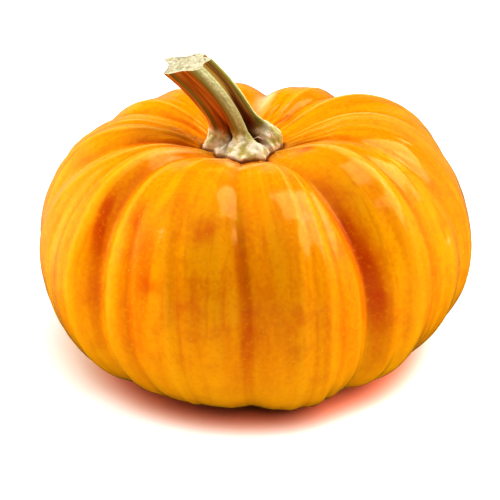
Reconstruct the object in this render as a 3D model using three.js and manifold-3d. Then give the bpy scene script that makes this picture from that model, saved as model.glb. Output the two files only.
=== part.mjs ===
// A small ribbed cooking pumpkin with its cut stem, standing on its blossom end.
//
// Two solids: the fruit, which grew as one piece, and the woody stem seated in its crown.
// Millimetres, +Z up. Azimuths are in degrees round +Z: 0 is the front (-Y), +90 is +X.
// The origin is the bottom centre of the finished pumpkin's box.

import * as THREE from "three";
import { mergeVertices } from "three/addons/utils/BufferGeometryUtils.js";
import Module from "manifold-3d";

// ---------------------------------------------------------------- driving dimensions

// The fruit's body before its furrows: two half profiles that meet at the widest level.
// squareness says how full the shoulder is, roundness how flat the profile is at its end.
const FRUIT_RADIUS = 88.5;
const CROWN = { height: 57.3, squareness: 2.62, roundness: 0.99 };
const BASE = { height: 52.8, squareness: 3.53, roundness: 1 };

// The hollow that the stem stands in, and the small one at the blossom end with its scar.
const STEM_DIMPLE = { depth: 21.8, width: 35 };
const BLOSSOM_DIMPLE = { depth: 8, width: 22 };
const BLOSSOM_SCAR = { height: 1.6, width: 5 };

// How far the crown is pushed off the axis of the base.
const CROWN_SHIFT = new THREE.Vector2(-0.8, -1.8);

// The plan is a little lopsided: each wave bulges by a share of the radius at its azimuth,
// at the widest level, and by a further share towards the base.
const PLAN_WAVES = [
  { count: 1, share: 0.0232, azimuth: 59.7, baseShare: 0.0123, baseAzimuth: -150.6 },
  { count: 2, share: 0.0341, azimuth: -18.6, baseShare: 0.025, baseAzimuth: 56.3 },
  { count: 3, share: 0.023, azimuth: -15.1, baseShare: 0.0243, baseAzimuth: 54 },
];

// The furrows between the ribs, each with the rib that follows it.
// azimuth: where the furrow crosses the widest level. turn: how far round it has moved when
// it reaches the base and the crown. depth: at the base, at the widest level and at the
// crown. width is in degrees. swell: how much the rib that follows stands proud, and sag:
// how much more at its foot. Depth, swell and sag are per cent of the radius.
const FURROWS = [
  { azimuth: -160.4, turn: [0, 0], depth: [3.5, 7.9, 8.5], width: 8, swell: -2.8, sag: 3.5 },
  { azimuth: -117.9, turn: [0, 0], depth: [4, 9.1, 9.8], width: 8, swell: 3.2, sag: 3.6 },
  { azimuth: -89.1, turn: [0, 18], depth: [1.8, 3.2, 10], width: 8, swell: -2.9, sag: 2 },
  { azimuth: -40.7, turn: [2, -5], depth: [4.7, 10.7, 11.5], width: 8, swell: -2.8, sag: 0 },
  { azimuth: 0.7, turn: [0.5, -5], depth: [2.9, 6.5, 7], width: 6, swell: 3.1, sag: 0.7 },
  { azimuth: 34.4, turn: [2, -6.5], depth: [5.1, 11.5, 12.4], width: 8, swell: 1.1, sag: 2.9 },
  { azimuth: 44.8, turn: [0, 5], depth: [0.4, 0.4, 0.4], width: 5, swell: -1.1, sag: -3.5 },
  { azimuth: 75.4, turn: [0, -6], depth: [2, 3.4, 5.5], width: 7, swell: 1.3, sag: 3.5 },
  { azimuth: 102.6, turn: [0, 15], depth: [2.7, 6.1, 6.6], width: 8, swell: 4.8, sag: -3.5 },
  { azimuth: 141.2, turn: [0, 0], depth: [3.8, 8.7, 9.4], width: 8, swell: 0.7, sag: -2.2 },
  { azimuth: 170.5, turn: [0, 0], depth: [4.4, 10, 10.8], width: 8, swell: 0.3, sag: -1 },
];

// Faint creases along the broad ribs.
const CREASES = [
  { azimuth: -138, turn: [0, 0], depth: [0.5, 1.2, 1.3], width: 5 },
  { azimuth: -102, turn: [0, 2], depth: [0.6, 1.4, 1.5], width: 5 },
  { azimuth: -67, turn: [2, 0], depth: [0.5, 1.2, 1.3], width: 4 },
  { azimuth: -29, turn: [2, -3], depth: [0.4, 1, 1.1], width: 4 },
  { azimuth: 15, turn: [1, 0], depth: [0.5, 1.2, 1.3], width: 3 },
  { azimuth: 22.5, turn: [1, 0], depth: [0.5, 1.2, 1.3], width: 3 },
  { azimuth: 61, turn: [0, -3], depth: [0.5, 1.2, 1.3], width: 4 },
  { azimuth: 119, turn: [0, 1], depth: [0.6, 1.4, 1.5], width: 5 },
  { azimuth: 157, turn: [0, 0], depth: [0.5, 1.2, 1.3], width: 5 },
];

const FURROW_ROUNDING = 1.2; // degrees over which a furrow's floor is rounded
const FURROW_FADE = 22; // furrows run out inside this radius round each pole

const GROUND_FLAT = 1.3; // height pressed flat off the lowest ribs by the ground

const FACET_ANGLE = 4.1; // degrees of azimuth per column of facets
const FACET_ROWS = 40; // rows of facets from pole to pole

// The stem: a five-ridged stalk that leans to the left as it rises out of a toed foot.
// Its axis is a parabola whose slope grows from the foot to the cut.
const STEM_FOOT = new THREE.Vector3(-1, -2, 38.1); // from the fruit's middle
const STEM = { cutHeight: 33.4, leanAtFoot: 9, leanAtCut: 48, hollow: 1.1 };
const STEM_SPARE = { foot: 8, cut: 12 }; // length made past each end, before it is trimmed
const STEM_CUT_TILT = { front: 9, left: 5 }; // degrees that the cut face tips each way

// Each ridge runs down into a toe. angle and reach are its place at the foot and at the
// cut, toe is how high its toe climbs the stalk and crest the width along its top.
const RIDGES = [
  { angle: [-80, -50], reach: [19.2, 8.6], toe: 7.2, crest: 2.4 },
  { angle: [14, 27], reach: [16.8, 7.3], toe: 4.2, crest: 4.2 },
  { angle: [88, 106], reach: [15.2, 7.9], toe: 6.5, crest: 2.2 },
  { angle: [148, 152], reach: [15.0, 9.6], toe: 6.0, crest: 3.0 },
  { angle: [216, 212], reach: [15.4, 8.8], toe: 6.0, crest: 3.0 },
];
const CREST_BROADENING = 0.9; // extra share of a crest's width at its toe
const CREST_ROUNDING = 1.01; // how far the middle of a crest stands out over its sides
const CREVICE = { depth: 2.4, height: 5.5, spread: 3.5 }; // between the toes
const STEM_GAP = 0.3; // clearance between the stem's seat and the skin
const STEM_ROWS = 34;
const STEM_ROW_CROWDING = 1.25; // over 1 crowds the rows of facets towards the foot
const HOLLOW_STEPS = 8;

const SKIN = { color: 0xf5a21c, roughness: 0.38, metalness: 0 };
const WOOD = { color: 0x9b7a3e, roughness: 0.8, metalness: 0 };

// ---------------------------------------------------------------- the fruit's surface

const rad = THREE.MathUtils.degToRad;
const PERCENT = 0.01;

function wrap(angle) {
  return Math.atan2(Math.sin(angle), Math.cos(angle));
}

// A furrow's azimuth at a level; rise is -1 at the base, 0 at the widest level, 1 on top.
function azimuthOf(furrow, rise) {
  const turn = rise < 0 ? furrow.turn[0] : furrow.turn[1];
  return rad(furrow.azimuth + turn * rise ** 2);
}

// How deep the furrows cut at a place, as a share of the radius.
function furrowDepth(azimuth, rise) {
  const rounding = rad(FURROW_ROUNDING);
  let total = 0;
  for (const furrow of [...FURROWS, ...CREASES]) {
    const [base, widest, crown] = furrow.depth;
    const depth = THREE.MathUtils.lerp(widest, rise < 0 ? base : crown, Math.abs(rise));
    const away = wrap(azimuth - azimuthOf(furrow, rise));
    const softened = Math.hypot(away, rounding) - rounding;
    total += depth * Math.exp(-softened / rad(furrow.width));
  }
  return total * PERCENT;
}

function planFactor(azimuth, rise) {
  let factor = 1;
  for (const wave of PLAN_WAVES) {
    factor += wave.share * Math.cos(wave.count * (azimuth - rad(wave.azimuth)));
    factor -= rise * wave.baseShare * Math.cos(wave.count * (azimuth - rad(wave.baseAzimuth)));
  }
  return factor;
}

// A point on the skin. rib and across (0..1) say where it lies between two furrows, and
// level runs from -90 degrees at the blossom end to 90 at the stem.
function skinPoint(rib, across, level) {
  const upper = level >= 0;
  const half = upper ? CROWN : BASE;
  const side = upper ? 1 : -1;
  const radius = FRUIT_RADIUS * Math.cos(level);
  const climb = Math.sqrt(Math.max(0, 1 - (radius / FRUIT_RADIUS) ** half.squareness));
  const rise = side * climb;

  const start = azimuthOf(FURROWS[rib], rise);
  const end = azimuthOf(FURROWS[(rib + 1) % FURROWS.length], rise);
  const span = (end - start + 2 * Math.PI) % (2 * Math.PI);
  const azimuth = start + across * span;

  let height = side * half.height * climb ** half.roundness;
  if (upper) {
    height -= STEM_DIMPLE.depth * Math.exp(-((radius / STEM_DIMPLE.width) ** 2));
  } else {
    height += BLOSSOM_DIMPLE.depth * Math.exp(-((radius / BLOSSOM_DIMPLE.width) ** 2));
    height -= BLOSSOM_SCAR.height * Math.exp(-((radius / BLOSSOM_SCAR.width) ** 4));
  }

  const fade = 1 - Math.exp(-((radius / FURROW_FADE) ** 2));
  const { swell, sag } = FURROWS[rib];
  const bulge = PERCENT * (swell - sag * rise) * Math.sin(Math.PI * across) ** 2;
  const cut = 1 - fade * furrowDepth(azimuth, rise);
  height *= cut;
  const reach = radius * (cut + fade * bulge) * planFactor(azimuth, rise);
  const shift = height / CROWN.height;
  return new THREE.Vector3(
    reach * Math.sin(azimuth) + CROWN_SHIFT.x * shift,
    -reach * Math.cos(azimuth) + CROWN_SHIFT.y * shift,
    height,
  );
}

// ---------------------------------------------------------------- closed meshes

// A closed body from rings of points of equal length, listed from the bottom up and
// anticlockwise seen from above, with one point closing each end.
function bodyFromRings(rings, bottom, top) {
  const count = rings[0].length;
  const points = [bottom, ...rings.flat(), top];
  const last = points.length - 1;
  const index = [];
  for (let i = 0; i < count; i++) {
    const next = (i + 1) % count;
    index.push(0, 1 + next, 1 + i);
    for (let row = 0; row < rings.length - 1; row++) {
      const low = 1 + row * count;
      const high = low + count;
      index.push(low + i, low + next, high + next);
      index.push(low + i, high + next, high + i);
    }
    const rim = last - count;
    index.push(last, rim + i, rim + next);
  }
  const geometry = new THREE.BufferGeometry();
  const position = points.flatMap((point) => point.toArray());
  geometry.setAttribute("position", new THREE.Float32BufferAttribute(position, 3));
  geometry.setIndex(index);
  return geometry;
}

// The whole skin, pushed out along its normals by an offset.
function fruitGeometry(offset) {
  const rings = [];
  for (let row = 1; row < FACET_ROWS; row++) {
    const level = rad(-90 + (180 * row) / FACET_ROWS);
    rings.push(skinRing(level));
  }
  const geometry = bodyFromRings(rings, skinPoint(0, 0, rad(-90)), skinPoint(0, 0, rad(90)));
  geometry.computeVertexNormals();
  const { position, normal } = geometry.attributes;
  const point = new THREE.Vector3();
  const outward = new THREE.Vector3();
  for (let i = 0; i < position.count; i++) {
    point.fromBufferAttribute(position, i);
    outward.fromBufferAttribute(normal, i);
    position.setXYZ(i, ...point.addScaledVector(outward, offset));
  }
  return geometry;
}

function skinRing(level) {
  const ring = [];
  FURROWS.forEach((furrow, rib) => {
    const next = FURROWS[(rib + 1) % FURROWS.length];
    const span = (next.azimuth - furrow.azimuth + 360) % 360;
    const columns = Math.max(3, Math.round(span / FACET_ANGLE));
    for (let i = 0; i < columns; i++) {
      ring.push(skinPoint(rib, i / columns, level));
    }
  });
  return ring;
}

// ---------------------------------------------------------------- the stem's surface

// The stem's axis at a height over its foot, with the section's sideways direction there.
function stemFrame(height) {
  const slope = Math.tan(rad(STEM.leanAtFoot));
  const bend = (Math.tan(rad(STEM.leanAtCut)) - slope) / STEM.cutHeight;
  const above = Math.max(height, 0);
  const lean = Math.atan(slope + bend * above);
  const centre = new THREE.Vector3(-(slope * height + (bend * above ** 2) / 2), 0, height);
  const side = new THREE.Vector3(Math.cos(lean), 0, Math.sin(lean));
  return { centre: centre.add(STEM_FOOT), side };
}

// A point of a section: angle 0 faces the front, 90 degrees faces sideways to +X.
function polar(angle, reach) {
  return new THREE.Vector2(reach * Math.sin(angle), -reach * Math.cos(angle));
}

// One closed section of the stem: flat crests along the ridges, hollows between them.
function stemSection(height) {
  const { centre, side } = stemFrame(height);
  const along = Math.max(0, height / STEM.cutHeight);
  const crests = RIDGES.map((ridge) => {
    const toe = Math.exp(-((Math.max(height, 0) / ridge.toe) ** 2));
    const reach = THREE.MathUtils.lerp(ridge.reach[1], ridge.reach[0], toe);
    const angle = rad(THREE.MathUtils.lerp(...ridge.angle, along));
    const halfWidth = (ridge.crest * (1 + CREST_BROADENING * toe)) / 2 / reach;
    return { angle, reach, start: angle - halfWidth, end: angle + halfWidth };
  });
  const crevice = Math.exp(-(((height - CREVICE.height) / CREVICE.spread) ** 2));
  const hollow = STEM.hollow + CREVICE.depth * crevice;

  const outline = [];
  crests.forEach((crest, i) => {
    const next = crests[(i + 1) % crests.length];
    const from = polar(crest.end, crest.reach);
    const to = polar(next.start, next.reach);
    outline.push(polar(crest.start, crest.reach));
    outline.push(polar(crest.angle, crest.reach * CREST_ROUNDING));
    for (let step = 0; step < HOLLOW_STEPS; step++) {
      const t = step / HOLLOW_STEPS;
      const point = from.clone().lerp(to, t);
      outline.push(point.setLength(point.length() - hollow * Math.sin(Math.PI * t)));
    }
  });
  const place = ({ x, y }) => new THREE.Vector3(0, y, 0).addScaledVector(side, x).add(centre);
  return outline.map(place);
}

function stemGeometry() {
  const low = -STEM_SPARE.foot;
  const high = STEM.cutHeight + STEM_SPARE.cut;
  const rings = [];
  for (let row = 0; row <= STEM_ROWS; row++) {
    const along = (row / STEM_ROWS) ** STEM_ROW_CROWDING;
    rings.push(stemSection(THREE.MathUtils.lerp(low, high, along)));
  }
  return bodyFromRings(rings, stemFrame(low).centre, stemFrame(high).centre);
}

// The block above the stem's cut face.
function aboveCut() {
  const size = 80;
  const block = new THREE.BoxGeometry(size, size, size);
  block.translate(0, 0, size / 2);
  block.rotateX(rad(STEM_CUT_TILT.front));
  block.rotateY(rad(-STEM_CUT_TILT.left));
  const { centre } = stemFrame(STEM.cutHeight);
  return block.translate(centre.x, centre.y, centre.z);
}

// ---------------------------------------------------------------- joins and cuts

const wasm = await Module();
wasm.setup();

function toSolid(geometry) {
  const bare = geometry.clone();
  bare.deleteAttribute("normal");
  bare.deleteAttribute("uv");
  const merged = mergeVertices(bare, 1e-5);
  return new wasm.Manifold(
    new wasm.Mesh({
      numProp: 3,
      vertProperties: merged.attributes.position.array,
      triVerts: Uint32Array.from(merged.index.array),
    }),
  );
}

function toGeometry(solid) {
  const { vertProperties, triVerts } = solid.getMesh();
  const geometry = new THREE.BufferGeometry();
  geometry.setAttribute("position", new THREE.BufferAttribute(vertProperties, 3));
  geometry.setIndex(new THREE.BufferAttribute(triVerts, 1));
  geometry.computeVertexNormals();
  return geometry;
}

// The block under the level where the fruit's lowest ribs are flattened.
function ground(fruit) {
  fruit.computeBoundingBox();
  const level = fruit.boundingBox.min.z + GROUND_FLAT;
  const size = 3 * FRUIT_RADIUS;
  const block = new THREE.BoxGeometry(size, size, size);
  return block.translate(0, 0, level - size / 2);
}

// ---------------------------------------------------------------- the pumpkin

function makeMesh(name, solid, look) {
  const mesh = new THREE.Mesh(toGeometry(solid), new THREE.MeshStandardMaterial(look));
  mesh.name = name;
  return mesh;
}

function makePumpkin() {
  const skin = fruitGeometry(0);
  const fruit = toSolid(skin).subtract(toSolid(ground(skin)));
  const seat = toSolid(fruitGeometry(STEM_GAP));
  const stem = toSolid(stemGeometry()).subtract(toSolid(aboveCut())).subtract(seat);

  const pumpkin = new THREE.Group();
  pumpkin.add(makeMesh("fruit", fruit, SKIN), makeMesh("stem", stem, WOOD));

  const box = new THREE.Box3().setFromObject(pumpkin);
  const centre = box.getCenter(new THREE.Vector3());
  pumpkin.position.set(-centre.x, -centre.y, -box.min.z);
  return pumpkin;
}

export default makePumpkin();
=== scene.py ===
"""A small ribbed cooking pumpkin with its cut woody stem, on a plain white table.

The fruit's skin and the stem are remade here as fine surfaces of the same form as the
solids of the frame, with their low relief and their finishes. Shapes are worked out in
millimetres round the fruit's middle; meshes are made in metres in the shared frame.
Azimuths are in degrees: 0 is the front (-Y), +90 is +X. Levels run from -90 degrees at the
blossom end to 90 at the stem.
"""

import math

import bpy
import numpy as np
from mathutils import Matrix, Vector, noise
from mathutils.bvhtree import BVHTree


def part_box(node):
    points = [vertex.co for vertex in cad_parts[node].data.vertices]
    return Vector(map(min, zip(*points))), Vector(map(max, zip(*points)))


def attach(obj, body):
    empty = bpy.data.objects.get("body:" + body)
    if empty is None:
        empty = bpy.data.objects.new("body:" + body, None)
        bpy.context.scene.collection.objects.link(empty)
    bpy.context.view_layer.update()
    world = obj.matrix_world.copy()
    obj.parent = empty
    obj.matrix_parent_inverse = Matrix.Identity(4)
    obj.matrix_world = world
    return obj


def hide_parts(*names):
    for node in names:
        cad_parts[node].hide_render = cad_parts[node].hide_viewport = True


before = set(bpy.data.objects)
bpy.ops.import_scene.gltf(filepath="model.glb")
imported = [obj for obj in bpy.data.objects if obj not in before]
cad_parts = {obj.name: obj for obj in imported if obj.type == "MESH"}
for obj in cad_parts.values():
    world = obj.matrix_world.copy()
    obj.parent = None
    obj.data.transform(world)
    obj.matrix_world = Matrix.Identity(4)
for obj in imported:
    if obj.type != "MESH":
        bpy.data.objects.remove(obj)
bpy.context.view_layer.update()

MM = 0.001

# ---------------------------------------------------------------- the fruit's form

FRUIT_RADIUS = 88.5
# Over and under the widest level: the height, and the powers that shape the profile.
CROWN = {"height": 57.3, "squareness": 2.62, "roundness": 0.99}
BASE = {"height": 52.8, "squareness": 3.53, "roundness": 1.0}
STEM_DIMPLE = {"depth": 21.8, "width": 35.0}
BLOSSOM_DIMPLE = {"depth": 8.0, "width": 22.0}
BLOSSOM_SCAR = {"height": 1.6, "width": 5.0}
CROWN_SHIFT = (-0.8, -1.8)  # in X and Y at the crown, as the fruit leans a little
GROUND_FLAT = 1.3  # how much of the lowest ribs is pressed flat on the ground
BOX_MARGIN = 0.05  # how far every piece stays inside the box of its solid

# count, share and azimuth at the widest level, then share and azimuth added at the base
PLAN_WAVES = [
    (1, 0.0232, 59.7, 0.0123, -150.6),
    (2, 0.0341, -18.6, 0.025, 56.3),
    (3, 0.023, -15.1, 0.0243, 54.0),
]

# azimuth, turn at the base and at the crown, width, swell and sag of the next rib,
# and the depth at the base, at the widest level and at the crown; the last five are
# per cent of the radius
FURROWS = [
    (-160.4, 0.0, 0.0, 8.0, -2.8, 3.5, (3.5, 7.9, 8.5)),
    (-117.9, 0.0, 0.0, 8.0, 3.2, 3.6, (4.0, 9.1, 9.8)),
    (-89.1, 0.0, 18.0, 8.0, -2.9, 2.0, (1.8, 3.2, 10.0)),
    (-40.7, 2.0, -5.0, 8.0, -2.8, 0.0, (4.7, 10.7, 11.5)),
    (0.7, 0.5, -5.0, 6.0, 3.1, 0.7, (2.9, 6.5, 7.0)),
    (34.4, 2.0, -6.5, 8.0, 1.1, 2.9, (5.1, 11.5, 12.4)),
    (44.8, 0.0, 5.0, 5.0, -1.1, -3.5, (0.4, 0.4, 0.4)),
    (75.4, 0.0, -6.0, 7.0, 1.3, 3.5, (2.0, 3.4, 5.5)),
    (102.6, 0.0, 15.0, 8.0, 4.8, -3.5, (2.7, 6.1, 6.6)),
    (141.2, 0.0, 0.0, 8.0, 0.7, -2.2, (3.8, 8.7, 9.4)),
    (170.5, 0.0, 0.0, 8.0, 0.3, -1.0, (4.4, 10.0, 10.8)),
]

# the same for the faint creases along the broad ribs
CREASES = [
    (-138.0, 0.0, 0.0, 5.0, (0.5, 1.2, 1.3)),
    (-102.0, 0.0, 2.0, 5.0, (0.6, 1.4, 1.5)),
    (-67.0, 2.0, 0.0, 4.0, (0.5, 1.2, 1.3)),
    (-29.0, 2.0, -3.0, 4.0, (0.4, 1.0, 1.1)),
    (15.0, 1.0, 0.0, 3.0, (0.5, 1.2, 1.3)),
    (22.5, 1.0, 0.0, 3.0, (0.5, 1.2, 1.3)),
    (61.0, 0.0, -3.0, 4.0, (0.5, 1.2, 1.3)),
    (119.0, 0.0, 1.0, 5.0, (0.6, 1.4, 1.5)),
    (157.0, 0.0, 0.0, 5.0, (0.5, 1.2, 1.3)),
]

# The red bands beside the deep furrows, a deeper red of the rind that is partly painted
# shade of the furrows: azimuth, turn at the base and at the crown, half width in degrees
# on the left and on the right, strength, and the levels between which the band is full.
RED_AND_SHADE_BANDS = [
    (-42.6, 2.0, -11.0, 2.6, 1.5, 0.95, 19, 40),
    (-42.9, 2.0, -8.0, 1.6, 1.2, 0.35, -20, 19),
    (35.9, 2.0, -9.5, 2.3, 3.2, 0.85, -4, 36),
    (37.6, 2.0, -9.5, 2.2, 3.0, 0.35, -30, -4),
    (0.2, 0.5, -5.0, 1.9, 1.9, 0.6, -34, 36),
    (-86.0, 0.0, 17.0, 6.0, 9.0, 0.9, 52, 82),
    (76.0, 0.0, -6.0, 7.0, 7.0, 0.6, 54, 82),
    (102.6, 0.0, 15.0, 3.5, 3.5, 0.4, 45, 78),
    (-160.4, 0.0, 0.0, 3.5, 3.5, 0.35, -10, 50),
    (-117.9, 0.0, 0.0, 3.5, 3.5, 0.35, -10, 50),
    (141.2, 0.0, 0.0, 3.5, 3.5, 0.35, -10, 50),
    (170.5, 0.0, 0.0, 3.5, 3.5, 0.35, -10, 50),
]

# Duller bands along the front rib, in the same terms.
DULL_BANDS = [
    (-25.0, 2.0, -5.0, 3.2, 2.6, 1.0, 4, 36),
    (-11.0, 1.0, -4.0, 2.6, 2.6, 0.5, -8, 26),
    (10.5, 1.0, 1.0, 2.4, 2.0, 0.5, -14, 26),
    (18.5, 1.0, 2.0, 1.6, 1.6, 0.6, -30, 20),
    (-31.0, 3.0, -4.0, 1.6, 1.2, 0.6, -40, 24),
]

FLUSH_SPREAD = 0.8  # of a furrow's width, for the paler flush all along it, partly painted shade
FLUSH_RISE = (-0.3, 1.1, 0.3)  # how far down and up it reaches, and how softly it ends
DEEP_FURROW = 11.0  # the depth, in per cent of the radius, at which the flush is full
BAND_SOFT = 3.0  # degrees of level over which a band ends
RED_SHADE_SHARE = 0.8  # how red a spot is, where a full band is 1
UNDERSIDE_TOP = 55.0  # height over the table under which the rind turns yellower

FURROW_ROUNDING = 1.2  # degrees over which a furrow's floor is rounded
FURROW_FADE = 22.0  # furrows run out inside this radius round each pole
PERCENT = 0.01

# ---------------------------------------------------------------- the fruit's low relief

# Fine lines along the ribs: azimuth, turn at the base, turn at the crown, height in mm
# (a groove when negative), half width in degrees, lowest and highest level.
FINE_LINES = [
    (-170.0, 0.0, 0.0, 0.4, 1.6, -40, 78),
    (-148.0, 0.0, 0.0, 0.45, 1.5, -40, 78),
    (-130.0, 0.0, 2.0, 0.4, 1.5, -40, 75),
    (-111.0, 0.0, 19.0, 0.55, 1.4, 20, 80),
    (-108.0, 0.0, 19.0, -0.4, 1.4, 20, 80),
    (-103.0, 0.0, 20.0, 0.55, 1.5, 15, 78),
    (-98.0, 0.0, 10.0, 0.3, 1.4, -40, 40),
    (-79.0, 0.0, 22.0, 0.7, 1.6, 22, 76),
    (-70.0, 0.0, 4.0, 0.3, 1.6, -40, 45),
    (-61.0, 2.0, 4.0, -0.35, 1.4, -45, 60),
    (-51.0, 3.0, -2.0, 0.6, 2.4, -50, 78),
    (-35.5, 3.0, -4.0, 0.5, 3.2, -50, 45),
    (-29.0, 3.0, -6.0, -0.6, 1.3, -50, 42),
    (-24.5, 2.0, -4.0, -0.35, 2.4, 5, 38),
    (-18.0, 1.0, -8.0, 0.55, 1.0, -50, 45),
    (-15.5, 1.0, -6.0, -0.3, 1.0, -50, 45),
    (-11.0, 1.0, -5.0, -0.2, 2.0, -40, 36),
    (-6.0, 1.0, -3.0, 0.2, 1.4, -50, 55),
    (8.0, 0.5, -2.0, 0.25, 1.2, -50, 60),
    (13.0, 1.0, 4.0, 0.55, 1.0, -55, 66),
    (16.5, 1.0, 3.0, -0.4, 1.0, -55, 64),
    (20.5, 1.0, 2.0, 0.5, 1.0, -60, 62),
    (23.5, 1.0, 1.0, -0.4, 1.1, -60, 58),
    (29.5, 1.0, -6.0, 0.35, 1.4, -60, 50),
    (48.8, 0.0, 5.5, 0.6, 3.3, -40, 80),
    (56.0, 0.0, 3.0, -0.4, 1.5, -45, 60),
    (62.0, 0.0, 8.0, 0.35, 1.5, -40, 70),
    (84.0, 0.0, 4.0, 0.35, 1.4, -20, 76),
    (95.0, 0.0, 12.0, 0.7, 1.6, 10, 78),
    (118.0, 0.0, 16.0, 0.6, 1.5, 10, 76),
    (128.0, 0.0, 10.0, -0.4, 1.5, 0, 76),
    (150.0, 0.0, 0.0, 0.4, 1.5, -40, 78),
]
LINE_SOFT = 6.0  # degrees of level over which a fine line ends

# Uneven relief. Each seed picks another stretch of the same noise.
SWELLING = {"size": 26.0, "stretch": 2.2, "height": 0.55, "seed": 3.1}  # of the flesh
STREAK = {"size": 5.0, "stretch": 9.0, "height": 0.12, "seed": 17.7}  # of the rind
DENTS = {"size": 7.0, "height": 0.1, "seed": 41.3}
WRINKLES = {"count": 46, "radius": 24.0, "spread": 9.0, "height": 0.35}  # round the stem
WRINKLE_WANDER = {"size": 20.0, "amount": 1.5, "turn": 6.0, "least": 0.6, "seed": 7.9}
CALM_POLE = (4.0, 14.0)  # radii round each pole between which the relief sets in
COLOUR_STREAK = {"size": 6.5, "stretch": 9.0, "seed": 5.3}  # of colour, down the ribs
STREAK_RUN = {"up": 1.2, "out": -0.5}  # how a streak's length grows up and out along a rib

SKIN_ROWS = 222
SKIN_COLUMNS = 428
FURROW_CROWDING = 0.09  # draws columns together at the furrows

# Reddish blotches where the rind has rubbed: azimuth, level, size along, size across (mm).
BLUSHES = [
    (-24.0, 15.0, 5.5, 3.5),
    (-10.5, 34.0, 6.5, 4.0),
    (-14.0, 12.0, 8.0, 4.5),
    (-27.0, -2.0, 9.0, 2.5),
    (11.0, 6.0, 5.0, 3.5),
    (-33.0, 34.0, 7.0, 3.0),
]
# A pale patch painted on the rind behind the stem: a painted sheen, in the same terms.
SHEEN_PATCHES = [(168.0, 61.0, 16.0, 4.0)]
# Painted shade, deep red, in the hollow beside the stem, in the same terms.
RED_SHADE_SPOTS = [
    (-63.0, 68.5, 9.0, 9.0),
    (48.0, 67.5, 4.0, 5.0),
]
# Small corky scars: azimuth, level, length (mm).
SCARS = [
    (67.0, 11.0, 1.6),
    (-22.5, 33.0, 0.7),
    (-22.0, 31.0, 0.6),
    (130.0, 5.0, 2.0),
    (-150.0, 20.0, 1.6),
]
SCAR_WIDTH = 0.7  # of its length
SEAT = {"reach": 40.0, "soft": 1.7}  # where the rind round the stem's foot is painted red-brown, as contact shade

# ---------------------------------------------------------------- the stem's form

STEM_FOOT = (-1.0, -2.0, 38.1)  # from the fruit's middle
CUT_HEIGHT = 33.4  # of the cut face over the foot
LEAN_AT_FOOT = 9.0  # degrees to the left
LEAN_AT_CUT = 48.0
HOLLOW = 1.1  # how far the facets between the ridges curve in
CUT_TILT_FRONT = 9.0
CUT_TILT_LEFT = 5.0
CUT_LIFT = {"height": 1.2, "span": 14.0, "lowest": -0.4}  # rises to the right and the back

# The ridges: angle at the foot and at the cut, reach from the axis at the foot and at the
# cut, height that the toe climbs, and width of the crest.
RIDGES = [
    (-80.0, -50.0, 19.2, 8.6, 7.2, 2.4),
    (14.0, 27.0, 16.8, 7.3, 4.2, 4.2),
    (88.0, 106.0, 15.2, 7.9, 6.5, 2.2),
    (148.0, 152.0, 15.0, 9.6, 6.0, 3.0),
    (216.0, 212.0, 15.4, 8.8, 6.0, 3.0),
]
CREST_BROADENING = 0.9  # extra share of a crest's width at its toe
CREST_CORK = (0.35, 1.0, 1.0, 1.0, 1.0)  # how corky each ridge is above its toe
CORK_CREEP = 0.55  # a power: the higher, the further the cork runs into the hollows
BORDERS = {"across": (0.1, 0.9), "width": 0.07}  # the olive edges of each hollow
# The facets on the right, painted darker and duller as shade: the ridges that they
# follow, and where they lie across the hollow.
SHADED_FACETS = {"ridges": (1, 2), "start": 0.06, "end": 0.9, "soft": 0.03}
CREVICE = {"depth": 2.4, "height": 5.5, "spread": 3.5}  # between the toes

# Between each ridge and the next, a groove painted dark as shade: where it lies across the
# hollow (0..1), its half width across, depth in mm, and the heights where it starts and ends.
GROOVES = [
    (0.56, 0.085, 2.2, 3.0, 13.0),
    (0.42, 0.23, 1.2, 2.0, 19.0),
    (0.5, 0.12, 1.2, 5.0, 30.0),
    (0.45, 0.14, 1.0, 4.0, 32.0),
    (0.55, 0.12, 1.1, 5.0, 28.0),
]
GROOVE_SOFT = 1.5  # mm of height over which a groove ends
GROOVE_SHADE = {"widening": 1.3, "soft": 2.0}  # its painted shade, which spreads past it
# Knobs and pits of the foot: angle, height, size, height out of the surface (mm).
KNOBS = [
    (-92.0, 4.0, 4.0, 1.3),
    (-78.0, 7.0, 3.2, 0.8),
    (-66.0, 3.0, 2.6, 1.2),
    (-48.0, 2.0, 2.8, 1.5),
    (-30.0, 3.5, 2.4, 0.9),
    (-14.0, 1.5, 2.2, 0.8),
    (-4.0, 5.0, 2.0, 0.8),
    (10.0, 2.5, 2.0, 0.7),
    (26.0, 4.5, 2.2, 1.0),
    (36.0, 1.8, 2.0, 0.7),
    (47.0, 5.5, 1.5, -1.8),
    (58.0, 2.5, 2.4, 1.2),
    (72.0, 5.5, 2.4, 1.2),
    (90.0, 7.5, 2.6, 1.0),
    (104.0, 3.5, 2.8, 1.0),
    (130.0, 4.0, 2.4, 0.7),
    (170.0, 2.5, 2.6, 0.8),
    (200.0, 4.0, 2.4, 0.7),
    (240.0, 3.0, 2.8, 0.9),
]
FOOT_RADIUS = 13.0  # about the foot's middle, to turn a knob's angle into a length
KNOLL_SHARE = 0.45  # how far the cork and the knobs each raise a knoll

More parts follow.
